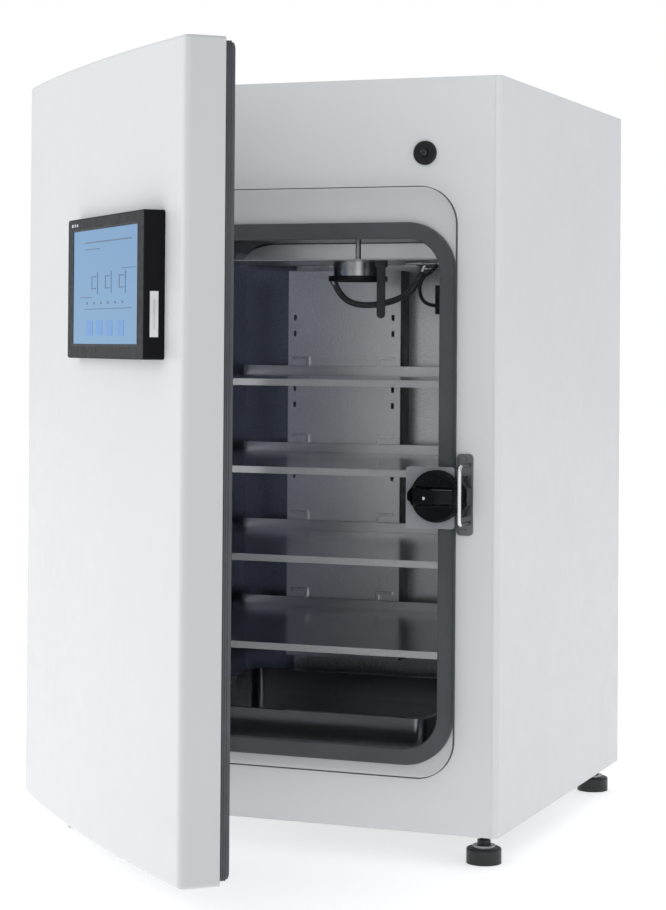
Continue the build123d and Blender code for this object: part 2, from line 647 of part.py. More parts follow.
def door_inner_panel():
    """Inner door panel: a flange for the seal, a dished middle and the latch pocket."""
    z0, z1 = DOOR_Z0 + DOOR_SKIN, DOOR_Z1 - DOOR_SKIN
    plate = door_block(DOOR_SKIN, DOOR_W - DOOR_SKIN, 0, 1.5, z0, z1)
    u0, u1, r0, r1 = RECESS
    dish = door_block(u0, u1, 0, RECESS_V, r0, r1) - door_block(u0 + 1.5, u1 - 1.5, -1, RECESS_V - 1.5,
                                                                  r0 + 1.5, r1 - 1.5)
    p0, p1, q0, q1 = POCKET
    pocket = door_block(p0, p1, 0, POCKET_V, q0, q1)
    hollow = door_block(p0 + 1.5, p1 - 1.5, -1, POCKET_V - 1.5, q0 + 1.5, q1 - 1.5)
    shell = (plate - door_block(u0 + 1, u1 - 1, -1, 2, r0 + 1, r1 - 1)) + dish
    shell += pocket
    shell -= hollow
    shell -= door_block(u0 + 1.5, u1 - 1.5, -1, RECESS_V - 1.5, r0 + 1.5, r1 - 1.5)
    for notch in hinge_notches(0):
        shell -= notch
    return shell


def door_insulation():
    """Foam blocks that fill the door round its dish, pocket and hinge notches."""
    g = 0.2
    z0, z1 = DOOR_Z0 + DOOR_SKIN + g, DOOR_Z1 - DOOR_SKIN - g
    u0, u1, r0, r1 = RECESS
    p0, p1, q0, q1 = POCKET
    core = door_body(DOOR_SKIN + g, z0, z1, 1.5 + g)
    deep = RECESS_V + g
    parts = [
        door_block(16.5, p0 - g, deep, 80, z0, z1),
        door_block(p0, DOOR_W, deep, 80, z0, q0 - g),
        door_block(p0, DOOR_W, deep, 80, q1 + g, z1),
        door_block(p0, p1, POCKET_V + g, 80, q0, q1),
        door_block(p1 + g, DOOR_W, deep, 80, q0, q1),
        door_block(16.5, u0 - g, 0, RECESS_V, z0, z1),
        door_block(u1 + g, DOOR_W, 0, RECESS_V, z0, q0 - g),
        door_block(u1 + g, DOOR_W, 0, RECESS_V, q1 + g, z1),
        door_block(u0, u1, 0, RECESS_V, z0, r0 - g),
        door_block(u0, u1, 0, RECESS_V, r1 + g, z1),
    ]
    ends = [z0]
    for z in DOOR_HINGE_Z:
        ends += [z - 29.5, z + 29.5]
    ends.append(z1)
    for low, high in zip(ends[::2], ends[1::2]):
        parts.append(door_block(0, 16.3, 0, 80, low, high))
    return [core & p for p in parts]


def door_seal():
    """The seal round the back of the outer door: two uprights with strips between them."""
    x0, x1 = door_x(10), door_x(DOOR_W - 3)
    z0, z1 = DOOR_Z0 + 5, DOOR_Z1 - 5
    outer = panel(x0, x1, z0, z1, 10, DOOR_BACK, DOOR_BACK + DOOR_SEAL_T)
    w = DOOR_SEAL_W
    inner = panel(x0 + w, x1 - w, z0 + w, z1 - w, 4, DOOR_BACK - 1, DOOR_BACK + DOOR_SEAL_T + 1)
    ring = outer - inner
    groove = panel(x0 + 5, x1 - 5, z0 + 5, z1 - 5, 7, DOOR_BACK + 8, DOOR_BACK + DOOR_SEAL_T + 1)
    groove -= panel(x0 + 9, x1 - 9, z0 + 9, z1 - 9, 5, DOOR_BACK + 7, DOOR_BACK + DOOR_SEAL_T + 2)
    ring -= groove
    for notch in hinge_notches(0):
        ring -= notch
    y0, y1 = DOOR_BACK - 1, DOOR_BACK + DOOR_SEAL_T + 1
    z_mid = (z0 + z1) / 2
    cuts = [
        block(x0 - 1, x0 + w, y0, y1, z0 - 1, z1 + 1),
        block(x1 - w, x1 + 1, y0, y1, z0 - 1, z1 + 1),
        block(x0 + w + 0.1, x1 - w - 0.1, y0, y1, z0 - 1, z_mid),
        block(x0 + w + 0.1, x1 - w - 0.1, y0, y1, z_mid, z1 + 1),
    ]
    return [strip for cut in cuts for strip in (ring & cut).solids()]


def door_hinge_knuckles():
    """Upper knuckles, each on a tab let into the door."""
    x, y = door_pivot()
    knuckles = []
    for z in DOOR_HINGE_Z:
        knuckle = post(x, y, z + 0.5, z + 24, KNUCKLE_R)
        tab = block(x, door_x(14.5), y - 3, y + 3, z + 0.5, z + 24)
        solid = knuckle + tab - post(x, y, z, z + 25, PIN_R + 0.15)
        knuckles.append(solid)
    return knuckles


def hinge_pins():
    """Pins of both pairs of hinges, fixed in the lower knuckles."""
    pins = []
    x, y = door_pivot()
    for z in DOOR_HINGE_Z:
        pins.append(post(x, y, z - 24, z + 24, PIN_R))
    x, y = glass_pivot()
    for z in GLASS_HINGE_Z:
        pins.append(post(x, y, z - 22, z + 22, 2))
    return pins


def display_housing():
    """Flat-faced housing that stands off the bowed door."""
    body = door_block(DISPLAY_U0, DISPLAY_U1, 40, DISPLAY_FACE, DISPLAY_Z0, DISPLAY_Z1)
    body = fillet(body.edges().filter_by(Axis.Y), 4)
    body = fillet(body.faces().sort_by(Axis.Y)[0].edges(), 1.5)
    body -= door_body(0, DOOR_Z0, DOOR_Z1, -1)
    body -= door_block(299, 543, 66, DISPLAY_FACE + 1, 657, 793)
    body -= door_block(DISPLAY_U1 - 3, DISPLAY_U1 + 1, 59.5, 70, 665, 717)
    return body


def display_screen():
    return door_block(299.3, 542.7, 69, DISPLAY_FACE - 0.6, 657.3, 792.7)


def side_hatch():
    """Cover over the service socket in the housing's right side."""
    plate = door_block(DISPLAY_U1 - 3, DISPLAY_U1 + 0.6, 59.8, 69.7, 665.3, 716.7)
    return plate - door_block(DISPLAY_U1 - 0.6, DISPLAY_U1 + 1, 63.5, 66, 675, 707)


# ---- feet ----------------------------------------------------------------------
def foot_places():
    return [(-FOOT_X, FOOT_FRONT), (FOOT_X, FOOT_FRONT), (-FOOT_X, FOOT_REAR), (FOOT_X, FOOT_REAR)]


def foot_bosses():
    """Threaded bosses in the case's base, each with a tapered collar below it."""
    bosses = []
    for x, y in foot_places():
        boss = post(x, y, FLOOR_Z + 2, FLOOR_Z + 42, 12) + post(x, y, FLOOR_Z, FLOOR_Z + 3, 8)
        collar = Pos(x, y, FLOOR_Z - 3) * Cone(8, 13, 6)
        bosses.append(boss + collar - post(x, y, FLOOR_Z - 8, FLOOR_Z + 38, 5.3))
    return bosses


def foot_stud(x, y):
    """Threaded stud with its domed hexagon nut."""
    stud = post(x, y, 19, FLOOR_Z + 27, 5)
    nut = extrude(Pos(x, y, 23.2) * RegularPolygon(9, 6), amount=6.5, dir=(0, 0, 1))
    return stud + nut


def foot_pad(x, y):
    """Moulded pad with a metal ring above it."""
    pad = post(x, y, 0, 20, PAD_R)
    pad = fillet(pad.edges().group_by(Axis.Z)[-1], 3)
    ring = post(x, y, 20, 23, 14.5)
    return pad + ring - post(x, y, 19, 24, 5)


# ---- write every node ------------------------------------------------------------
save("front_frame", front_frame())
save("side_panel_left", side_panel(-1))
save("side_panel_right", side_panel(1))
save("top_panel", top_panel())
save("bottom_pan", bottom_pan())
save("rear_cover", rear_cover())
save("fixing_screws", *fixing_screws())
save("insulation", *insulation())
save("chamber_liner", chamber_liner())
save("floor_heater", floor_heater())
save("mouth_seal", mouth_seal())
save("rear_duct", rear_duct())
save("side_uprights", *side_uprights())
save("shelf_brackets", *shelf_brackets())
for number in range(4):
    save(f"shelf_{number + 1}", shelf(number))
save("water_tray", water_tray())
save("ceiling_baffle", ceiling_baffle())
save("fan_cup", fan_cup())
save("fan_ring", fan_ring())
save("fan_motor", fan_motor())
save("fan_wheel", fan_wheel())
save("fan_shaft", fan_shaft())
save("temperature_probe", temperature_probe())
save("sensor_box", sensor_box())
save("gas_fittings", *gas_fittings())
save("sample_hose", tube_along(HOSE_ROUTE, HOSE_R))
save("sensor_lead", tube_along(LEAD_ROUTE, LEAD_R))
save("control_board", control_board())
save("power_supply", power_supply())
save("gas_valve", gas_valve())
save("gas_inlet", gas_inlet())
save("power_inlet", *power_inlet())
save("power_rocker", power_rocker())
save("switch_bezel", switch_bezel())
save("switch_plunger", switch_plunger())
save("keeper_plate", keeper_plate())
save("keeper_rod", keeper_rod())
save("keeper_block", keeper_block())
save("glass_pane", glass_pane())
save("glass_hinge_clamps", *glass_hinge_clamps())
save("knob_plate", knob_plate())
save("latch_knob", latch_knob())
save("hinge_pins", *hinge_pins())
save("hinge_brackets", *hinge_brackets())
save("foot_bosses", *foot_bosses())
for corner, (fx, fy) in zip(("front_left", "front_right", "rear_left", "rear_right"), foot_places()):
    save(f"foot_{corner}", foot_pad(fx, fy), foot_stud(fx, fy))

save("door_shell", place_door(door_shell()))
save("door_inner_panel", place_door(door_inner_panel()))
save("door_insulation", *[place_door(foam) for foam in door_insulation()])
save("door_seal", *[place_door(strip) for strip in door_seal()])
save("door_hinge_knuckles", *[place_door(knuckle) for knuckle in door_hinge_knuckles()])
save("display_housing", place_door(display_housing()))
save("display_screen", place_door(display_screen()))
save("side_hatch", place_door(side_hatch()))
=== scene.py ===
import bpy
import json
from math import cos, sin, pi, radians
from mathutils import Matrix, Vector


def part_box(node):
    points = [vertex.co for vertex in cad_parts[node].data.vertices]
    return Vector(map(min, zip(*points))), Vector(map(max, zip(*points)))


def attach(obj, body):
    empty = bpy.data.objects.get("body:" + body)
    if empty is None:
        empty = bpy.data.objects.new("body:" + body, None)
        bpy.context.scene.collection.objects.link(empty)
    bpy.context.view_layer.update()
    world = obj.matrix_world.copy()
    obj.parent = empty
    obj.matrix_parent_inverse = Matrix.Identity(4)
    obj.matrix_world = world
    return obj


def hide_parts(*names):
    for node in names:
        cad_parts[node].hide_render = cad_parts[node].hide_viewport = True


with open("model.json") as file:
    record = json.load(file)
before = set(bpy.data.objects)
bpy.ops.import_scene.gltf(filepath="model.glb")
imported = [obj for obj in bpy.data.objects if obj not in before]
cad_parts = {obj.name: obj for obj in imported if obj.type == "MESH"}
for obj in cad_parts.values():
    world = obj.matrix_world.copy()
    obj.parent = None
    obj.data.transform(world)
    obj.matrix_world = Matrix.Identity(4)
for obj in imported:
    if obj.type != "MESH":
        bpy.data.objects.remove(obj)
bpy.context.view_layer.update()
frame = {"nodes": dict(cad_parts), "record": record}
NODES = frame["nodes"]

MM = 0.001

# the places of what the details below lie on, in millimetres of the frame
FRONT = -301.0                       # the case's front face, along Y
DOOR_PIVOT = (-302.65, -326.84)      # the outer door's hinge axis
DOOR_REST = 45.2                     # degrees that the outer door stands open
DOOR_LEFT, DOOR_BACK = -308.0, -314.0
GLASS_BACK, GLASS_FRONT = -309.3, -314.3
PANE = (-261, 261, 110, 861)         # the glass pane's outline: x0, x1, z0, z1
PANE_R = 50
KNOB = (239.5, 468.5)                # the knob's axis: x, z

# the display, in the shut outer door's own u, v, z: along it, out of it and up
SCREEN = (296.5, 545.5, 654.5, 795.5)
BEZEL = (278.6, 564.4, 641.6, 806.4)
SCREEN_FACE, BEZEL_FACE = 76.4, 76.6

CAMERA_AT = (1.1852, -3.0937, 0.6578)
CAMERA_YAW, CAMERA_PITCH, CAMERA_ROLL = 21.429, -0.819, 0.418
SENSOR_H = 36
LENS = 91.7853626
SHIFT_Y = -0.1571099


# ---- camera --------------------------------------------------------------------
def make_camera():
    yaw, pitch, roll = radians(CAMERA_YAW), radians(CAMERA_PITCH), radians(CAMERA_ROLL)
    ahead = Vector((-sin(yaw) * cos(pitch), cos(yaw) * cos(pitch), -sin(pitch)))
    right = Vector((cos(yaw), sin(yaw), 0))
    up = right.cross(ahead)
    right, up = right * cos(roll) + up * sin(roll), up * cos(roll) - right * sin(roll)
    data = bpy.data.cameras.new("camera")
    data.sensor_fit = "VERTICAL"
    data.sensor_height = SENSOR_H
    data.lens = LENS
    data.shift_y = SHIFT_Y
    data.clip_end = 60
    camera = bpy.data.objects.new("camera", data)
    turn = Matrix((right, up, -ahead)).transposed().to_4x4()
    camera.matrix_world = Matrix.Translation(CAMERA_AT) @ turn
    bpy.context.scene.collection.objects.link(camera)
    bpy.context.scene.camera = camera


# ---- material helpers -------------------------------------------------------------
MIX_A, MIX_B, MIX_OUT = 6, 7, 2      # the colour sockets of a Mix node


class Look:
    """A node material under construction: a Principled shader and what feeds it."""

    def __init__(self, name, color, roughness, metallic=0.0):
        self.mat = bpy.data.materials.new(name)
        self.mat.use_nodes = True
        self.tree = self.mat.node_tree
        self.shader = self.tree.nodes["Principled BSDF"]
        self.shader.inputs["Base Color"].default_value = (*color, 1)
        self.shader.inputs["Roughness"].default_value = roughness
        self.shader.inputs["Metallic"].default_value = metallic
        self.color = color
        self.height = None

    def node(self, kind, **inputs):
        node = self.tree.nodes.new("ShaderNode" + kind)
        for key, value in inputs.items():
            node.inputs[key.replace("_", " ")].default_value = value
        return node

    def link(self, a, b):
        self.tree.links.new(a, b)

    def along(self, axis, turn=0.0):
        """A place along an axis of the frame, in metres, once turned about Z by some degrees."""
        split = self.node("SeparateXYZ")
        place = self.node("Mapping")
        place.inputs["Rotation"].default_value = (0, 0, radians(turn))
        self.link(self.node("TexCoord").outputs["Object"], place.inputs["Vector"])
        self.link(place.outputs["Vector"], split.inputs["Vector"])
        return split.outputs[axis]

    def coords(self, scale=(1, 1, 1)):
        place = self.node("TexCoord")
        mapping = self.node("Mapping")
        mapping.inputs["Scale"].default_value = scale
        self.link(place.outputs["Object"], mapping.inputs["Vector"])
        return mapping.outputs["Vector"]

    def noise(self, scale, stretch=(1, 1, 1), detail=3.0, roughness=0.55):
        noise = self.node("TexNoise", Scale=scale, Detail=detail, Roughness=roughness)
        self.link(self.coords(stretch), noise.inputs["Vector"])
        return noise.outputs["Fac"]

    def spread(self, value, low, high, a=0.3, b=0.7):
        """A value between a and b, spread over low to high."""
        remap = self.node("MapRange")
        for key, number in (("From Min", a), ("From Max", b), ("To Min", low), ("To Max", high)):
            remap.inputs[key].default_value = number
        self.link(value, remap.inputs["Value"])
        return remap.outputs["Result"]

    def tint(self, value, other, low=0.3, high=0.7):
        """Blend the base colour towards another one by a texture."""
        ramp = self.node("ValToRGB")
        ramp.color_ramp.elements[0].position = low
        ramp.color_ramp.elements[1].position = high
        ramp.color_ramp.elements[0].color = (*self.color, 1)
        ramp.color_ramp.elements[1].color = (*other, 1)
        self.link(value, ramp.inputs["Fac"])
        self.link(ramp.outputs["Color"], self.shader.inputs["Base Color"])

    def banded(self, value, socket, bands):
        """Colours that change abruptly where each band starts."""
        ramp = self.node("ValToRGB")
        ramp.color_ramp.interpolation = "CONSTANT"
        elements = ramp.color_ramp.elements
        elements.remove(elements[-1])
        elements[0].color = (*bands[0][1], 1)
        for start, color in bands[1:]:
            elements.new(start).color = (*color, 1)
        self.link(value, ramp.inputs["Fac"])
        self.link(ramp.outputs["Color"], self.shader.inputs[socket])

    def dim(self, axis, start, end, factor, turn=0.0):
        """Darken the base colour gradually from start to end along an axis, and fully beyond it."""
        base = self.shader.inputs["Base Color"]
        mix = self.node("Mix")
        mix.data_type, mix.blend_type = "RGBA", "MULTIPLY"
        self.link(self.spread(self.along(axis, turn), 0, 1, start, end), mix.inputs["Factor"])
        self.link(base.links[0].from_socket, mix.inputs[MIX_A])
        mix.inputs[MIX_B].default_value = (*factor, 1)
        self.link(mix.outputs[MIX_OUT], base)

    def rough(self, value, low, high):
        self.link(self.spread(value, low, high), self.shader.inputs["Roughness"])

    def glow(self, color, strength):
        self.shader.inputs["Emission Color"].default_value = (*color, 1)
        self.shader.inputs["Emission Strength"].default_value = strength

    def bump(self, value, distance, strength=1.0):
        """Add relief on top of what is there already."""
        bump = self.node("Bump", Strength=strength, Distance=distance)
        self.link(value, bump.inputs["Height"])
        if self.height is not None:
            self.link(self.height, bump.inputs["Normal"])
        self.height = bump.outputs["Normal"]
        self.link(self.height, self.shader.inputs["Normal"])

    def soft_edges(self, radius):
        """Round the shading of sharp edges."""
        bevel = self.node("Bevel", Radius=radius)
        bevel.samples = 4
        self.height = bevel.outputs["Normal"]
        self.link(self.height, self.shader.inputs["Normal"])


def shade(color, k):
    """A colour made darker or lighter, kept within range."""
    return tuple(min(1.0, c * k) for c in color)


def painted(name, color, roughness=0.38, dims=()):
    """Powder-coated sheet: fine orange peel and a faint unevenness of tone."""
    look = Look(name, color, roughness)
    look.soft_edges(0.0012)
    look.tint(look.noise(3.0, detail=4), shade(color, 0.965), 0.35, 0.75)
    look.rough(look.noise(40, detail=2), roughness - 0.05, roughness + 0.07)
    look.bump(look.noise(900, detail=2), 0.00012, 0.35)
    look.bump(look.noise(6, detail=1), 0.0006, 0.10)
    for dim in dims:
        look.dim(*dim)
    return look.mat


def steel(name, color, roughness, grain=(1, 1, 40), wear=0.85, smooth=1.0, dims=()):
    """Rolled or brushed steel: long fine grain and cloudy reflections."""
    look = Look(name, color, roughness, 1.0)
    look.soft_edges(0.0007)
    look.shader.inputs["Anisotropic"].default_value = 0.35
    fine = look.noise(260, grain, detail=4)
    look.tint(look.noise(5, detail=5), shade(color, wear), 0.3, 0.75)
    look.rough(fine, roughness * 0.8, roughness * 1.3)
    look.bump(fine, 0.00008, 0.35 * smooth)
    look.bump(look.noise(7, detail=2), 0.0009, 0.12 * smooth)
    for dim in dims:
        look.dim(*dim)
    return look.mat


def plastic(name, color, roughness=0.45, texture=1400.0, depth=0.00006, specular=0.5):
    """Moulded plastic: spark-eroded texture and slight sheen changes."""
    look = Look(name, color, roughness)
    look.shader.inputs["Specular IOR Level"].default_value = specular
    look.soft_edges(0.0005)
    look.tint(look.noise(18, detail=4), shade(color, 1.22), 0.35, 0.8)
    look.rough(look.noise(120, detail=3), roughness - 0.06, roughness + 0.08)
    look.bump(look.noise(texture, detail=2), depth, 0.5)
    return look.mat


def rubber(name, color, roughness=0.62):
    """Extruded rubber: matte, dusty in places, with fine pits."""
    look = Look(name, color, roughness)
    look.soft_edges(0.0006)
    look.shader.inputs["Sheen Weight"].default_value = 0.12
    look.shader.inputs["Sheen Roughness"].default_value = 0.5
    look.tint(look.noise(14, detail=5), shade(color, 1.35), 0.4, 0.8)
    look.rough(look.noise(70, detail=3), roughness - 0.08, roughness + 0.1)
    look.bump(look.noise(2200, detail=2), 0.00007, 0.5)
    return look.mat


def foam(name, color):
    """Open cells with uneven colour."""
    look = Look(name, color, 0.9)
    cells = look.node("TexVoronoi", Scale=260.0)
    look.link(look.coords(), cells.inputs["Vector"])
    look.tint(look.noise(30, detail=5), shade(color, 0.8))
    look.bump(cells.outputs["Distance"], 0.0012, 0.7)
    return look.mat


def glass(name):
    """Clear pane with a faint cool tint, barely uneven."""
    look = Look(name, (0.018, 0.024, 0.028), 0.03)
    look.shader.inputs["Alpha"].default_value = 0.035
    look.shader.inputs["IOR"].default_value = 1.5
    look.rough(look.noise(9, detail=3), 0.02, 0.05)
    look.bump(look.noise(2.5, detail=1), 0.0006, 0.05)
    look.mat.surface_render_method = "BLENDED"
    return look.mat


def screen_glass(name):
    """A lit panel: a pale blue field, a little brighter low down."""
    look = Look(name, (0.02, 0.03, 0.04), 0.2)
    look.shader.inputs["Specular IOR Level"].default_value = 0.25
    low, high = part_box("display_screen")
    level = look.spread(look.along("Z"), 0, 1, low.z, high.z)
    ramp = look.node("ValToRGB")
    ramp.color_ramp.elements[0].color = (0.170, 0.335, 0.545, 1)
    ramp.color_ramp.elements[1].color = (0.145, 0.305, 0.530, 1)
    look.link(level, ramp.inputs["Fac"])
    look.link(ramp.outputs["Color"], look.shader.inputs["Emission Color"])
    look.shader.inputs["Emission Strength"].default_value = 0.88
    look.rough(look.noise(200, detail=2), 0.17, 0.25)
    return look.mat


def foot_look(name):
    """Black moulded pad, a pale metal ring above it, then blackened steel to the top."""
    pad, ring, nut = (0.012, 0.012, 0.013), (0.46, 0.46, 0.47), (0.045, 0.045, 0.048)
    ring_from, nut_from, top = 0.405, 0.461, 0.05
    look = Look(name, pad, 0.4)
    height = look.spread(look.along("Z"), 0, 1, 0.0, top)
    look.banded(height, "Base Color", ((0, pad), (ring_from, ring), (nut_from, nut)))
    look.banded(height, "Metallic", ((0, (0, 0, 0)), (ring_from, (1, 1, 1))))
    look.rough(look.noise(120, detail=3), 0.34, 0.5)
    look.bump(look.noise(1500, detail=2), 0.00008, 0.5)
    return look.mat


def board(name):
    """Solder-masked circuit board with a grid of pale traces."""
    green, deep_green, trace = (0.02, 0.16, 0.06), (0.02, 0.13, 0.05), (0.35, 0.33, 0.16)
    look = Look(name, green, 0.4)
    grid = look.node("TexBrick", Scale=70.0, Mortar_Size=0.03)
    look.link(look.coords(), grid.inputs["Vector"])
    for socket, color in (("Color1", green), ("Color2", deep_green), ("Mortar", trace)):
        grid.inputs[socket].default_value = (*color, 1)
    look.link(grid.outputs["Color"], look.shader.inputs["Base Color"])
    look.rough(look.noise(60), 0.3, 0.5)
    return look.mat


# Where a look is darkened by place: axis, from, to (metres), factor, degrees turned about Z. The
# door's edge is found along X, once the door is turned back to shut about the frame's origin.
DOOR_EDGE_X, DOOR_EDGE_FADE = 300.0, 6.5
EDGE_FROM = (DOOR_PIVOT[0] * cos(radians(DOOR_REST)) - DOOR_PIVOT[1] * sin(radians(DOOR_REST))
             + DOOR_EDGE_X - DOOR_PIVOT[0]) * MM
DEEP_SHADE = (0.27, 0.29, 0.35)
# Painted shade: the outer door's paint is darkened near its free edge.
DIM_DOOR_EDGE = ("X", EDGE_FROM, EDGE_FROM + DOOR_EDGE_FADE * MM, (0.80, 0.80, 0.81), DOOR_REST)
# Painted shade: the chamber's steel is darkened by DEEP_SHADE left of x = -0.163 m, on its left wall, and
# above z = 0.7965 m, on its ceiling over the baffle.
DIM_CHAMBER_LEFT = ("X", -0.1605, -0.163, DEEP_SHADE)
DIM_CHAMBER_CEILING = ("Z", 0.7945, 0.7965, DEEP_SHADE)
DIM_KEEPER_SCREWS = ("Y", 0.0, -0.1, (0.42, 0.42, 0.44))
# Painted shade: the keeper rod is darkened on its ends that run back to the plate.
DIM_ROD_ENDS = ("Y", (FRONT - 39.5) * MM, (FRONT - 37.5) * MM, (0.12, 0.12, 0.125))
# Painted shade: pin steel is darkened from x = -0.10 m and fully right of x = -0.05 m, which takes in the
# fan shaft.
DIM_FAN_SHAFT = ("X", -0.10, -0.05, (0.35, 0.35, 0.37))

LOOKS = {
    "case_paint": painted("case_paint", (0.71, 0.72, 0.735)),
    # the door's paint carries painted shade near its free edge
    "door_paint": painted("door_paint", (0.715, 0.725, 0.725), 0.34, dims=(DIM_DOOR_EDGE,)),
    "inner_panel": painted("inner_panel", (0.70, 0.71, 0.72), 0.42),
    "galvanised": steel("galvanised", (0.52, 0.53, 0.54), 0.42, (4, 4, 4), 0.7),
    "screw_steel": steel("screw_steel", (0.5, 0.5, 0.5), 0.35, (3, 3, 3), dims=(DIM_KEEPER_SCREWS,)),
    "mineral_wool": foam("mineral_wool", (0.62, 0.55, 0.36)),
    "door_foam": foam("door_foam", (0.74, 0.68, 0.50)),
    # the chamber's steel carries painted shade on its left side and its ceiling
    "chamber_steel": steel("chamber_steel", (0.80, 0.81, 0.84), 0.28, (1, 1, 30), smooth=0.3,
                           dims=(DIM_CHAMBER_LEFT, DIM_CHAMBER_CEILING)),
    "baffle_steel": steel("baffle_steel", (0.93, 0.94, 0.96), 0.36, (30, 1, 1), smooth=0.4),
    "shelf_steel": steel("shelf_steel", (0.68, 0.69, 0.71), 0.2, (30, 1, 1), smooth=0.5),
    "tray_steel": steel("tray_steel", (0.22, 0.225, 0.24), 0.16, (30, 1, 1), smooth=0.4),
    "fan_steel": steel("fan_steel", (0.66, 0.66, 0.67), 0.2, (1, 1, 20)),
    "keeper_steel": steel("keeper_steel", (0.20, 0.20, 0.21), 0.34, (1, 1, 1)),
    "probe_grey": painted("probe_grey", (0.075, 0.080, 0.088), 0.5),
    # the keeper rod carries painted shade on its ends
    "rod_steel": steel("rod_steel", (0.80, 0.81, 0.82), 0.2, (1, 1, 20), dims=(DIM_ROD_ENDS,)),
    # pin steel carries painted shade on the fan shaft
    "pin_steel": steel("pin_steel", (0.60, 0.60, 0.60), 0.3, (1, 1, 20), dims=(DIM_FAN_SHAFT,)),
    "fitting_metal": steel("fitting_metal", (0.62, 0.62, 0.63), 0.25, (20, 1, 1)),
    "motor_metal": steel("motor_metal", (0.58, 0.59, 0.60), 0.4, (4, 4, 1)),
    "valve_brass": steel("valve_brass", (0.72, 0.52, 0.24), 0.28, (6, 6, 1)),
    "heater_mat": rubber("heater_mat", (0.45, 0.10, 0.05)),
    "seal_rubber": rubber("seal_rubber", (0.062, 0.067, 0.076)),
    "lead_rubber": rubber("lead_rubber", (0.010, 0.010, 0.012), 0.45),
    "hose_silicone": rubber("hose_silicone", (0.075, 0.080, 0.088), 0.4),
    "black_plastic": plastic("black_plastic", (0.008, 0.008, 0.010), 0.42, specular=0.3),
    "rocker_plastic": plastic("rocker_plastic", (0.010, 0.010, 0.011), 0.25),
    "button_plastic": plastic("button_plastic", (0.012, 0.012, 0.013), 0.16, 700.0, 0.00002),
    "fan_plastic": plastic("fan_plastic", (0.55, 0.55, 0.53), 0.5),
    "knob_plastic": plastic("knob_plastic", (0.0022, 0.0028, 0.0042), 0.24, 1100.0, 0.00003, 0.16),
    "plate_plastic": plastic("plate_plastic", (0.24, 0.25, 0.27), 0.45),
    "bezel_plastic": plastic("bezel_plastic", (0.0035, 0.0035, 0.005), 0.5, specular=0.12),
    "hatch_plastic": plastic("hatch_plastic", (0.62, 0.63, 0.63), 0.45),
    "circuit_board": board("circuit_board"),
    "door_glass": glass("door_glass"),
    "screen": screen_glass("screen"),
    "foot_rubber": foot_look("foot_rubber"),
}


def dress_cad():
    """Give every CAD node the procedural material of its slot."""
    for part in frame["record"]["subparts"]:
        obj = NODES[part["node"]]
        obj.data.materials.clear()
        obj.data.materials.append(LOOKS[part["material_slot"]])


# ---- geometry helpers ----------------------------------------------------------------
def material(look):
    return look if isinstance(look, bpy.types.Material) else LOOKS[look]


def piece(name, verts, faces, look, body, slot=None, smooth=False):
    """A mesh piece, given in millimetres, that rides on a body."""
    mesh = bpy.data.meshes.new(name)
    mesh.from_pydata([Vector(v) * MM for v in verts], [], faces)
    mesh.validate()
    mesh.update()
    obj = bpy.data.objects.new(name, mesh)
    bpy.context.scene.collection.objects.link(obj)
    mesh.materials.append(material(look))
    for polygon in mesh.polygons:
        polygon.use_smooth = smooth
    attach(obj, body)
    return obj


def bevelled(obj, width):
    modifier = obj.modifiers.new("edges", "BEVEL")
    modifier.width = width * MM
    modifier.segments = 3
    modifier.limit_method = "ANGLE"


def split_edges(obj, angle):
    """Keep edges sharper than an angle crisp on a smooth-shaded piece."""
    obj.modifiers.new("split", "EDGE_SPLIT").split_angle = radians(angle)


def at_door(u, v, z):
    """A point given on the shut outer door, placed where the door rests."""
    x, y = DOOR_LEFT + u - DOOR_PIVOT[0], DOOR_BACK - v - DOOR_PIVOT[1]
    a = radians(-DOOR_REST)
    return (DOOR_PIVOT[0] + x * cos(a) - y * sin(a), DOOR_PIVOT[1] + x * sin(a) + y * cos(a), z)


def bricks(boxes, place=lambda x, y, z: (x, y, z)):
    """Vertices and faces of several boxes (x0, x1, y0, y1, z0, z1)."""
    verts, faces = [], []
    for x0, x1, y0, y1, z0, z1 in boxes:
        n = len(verts)
        for z in (z0, z1):
            for x, y in ((x0, y0), (x1, y0), (x1, y1), (x0, y1)):
                verts.append(place(x, y, z))
        faces += [[n + 3, n + 2, n + 1, n], [n + 4, n + 5, n + 6, n + 7]]
        for i in range(4):
            j = (i + 1) % 4
            faces.append([n + i, n + j, n + 4 + j, n + 4 + i])
    return verts, faces


def rounded_loop(x0, x1, z0, z1, r, steps=10):
    """Points round a rectangle with round corners."""
    points = []
    corners = ((x1 - r, z1 - r, 0), (x0 + r, z1 - r, 90), (x0 + r, z0 + r, 180), (x1 - r, z0 + r, 270))
    for cx, cz, start in corners:
        for i in range(steps + 1):
            a = radians(start + 90 * i / steps)
            points.append((cx + r * cos(a), cz + r * sin(a)))
    return points


def frame_strip(name, inner, outer, y0, y1, look, body, slot=None, place=lambda x, y, z: (x, y, z)):
    """A closed band between two loops of equal length, from y0 to y1."""
    n = len(inner)
    rings = [[place(x, y, z) for x, z in loop]
             for loop, y in ((inner, y0), (outer, y0), (outer, y1), (inner, y1))]
    verts = [v for ring in rings for v in ring]
    faces = []
    for k in range(4):
        for i in range(n):
            j = (i + 1) % n
            m = (k + 1) % 4
            faces.append([k * n + i, k * n + j, m * n + j, m * n + i])
    return piece(name, verts, faces, look, body, slot)


def bar(name, kind, points, radius, resolution):
    """A curve with a round section and one open spline of that kind, and the spline."""
    curve = bpy.data.curves.new(name, "CURVE")
    curve.dimensions = "3D"
    curve.bevel_depth = radius * MM
    curve.bevel_resolution = resolution
    curve.use_fill_caps = True
    spline = curve.splines.new(kind)
    spline.points.add(len(points) - 1)
    for target, p in zip(spline.points, points):
        target.co = (*(Vector(p) * MM), 1)
    obj = bpy.data.objects.new(name, curve)
    bpy.context.scene.collection.objects.link(obj)
    return obj, spline


def tube(name, points, radius, look, body):
    """A round bar along straight runs."""
    obj, _ = bar(name, "POLY", points, radius, 3)
    obj.data.materials.append(material(look))
    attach(obj, body)


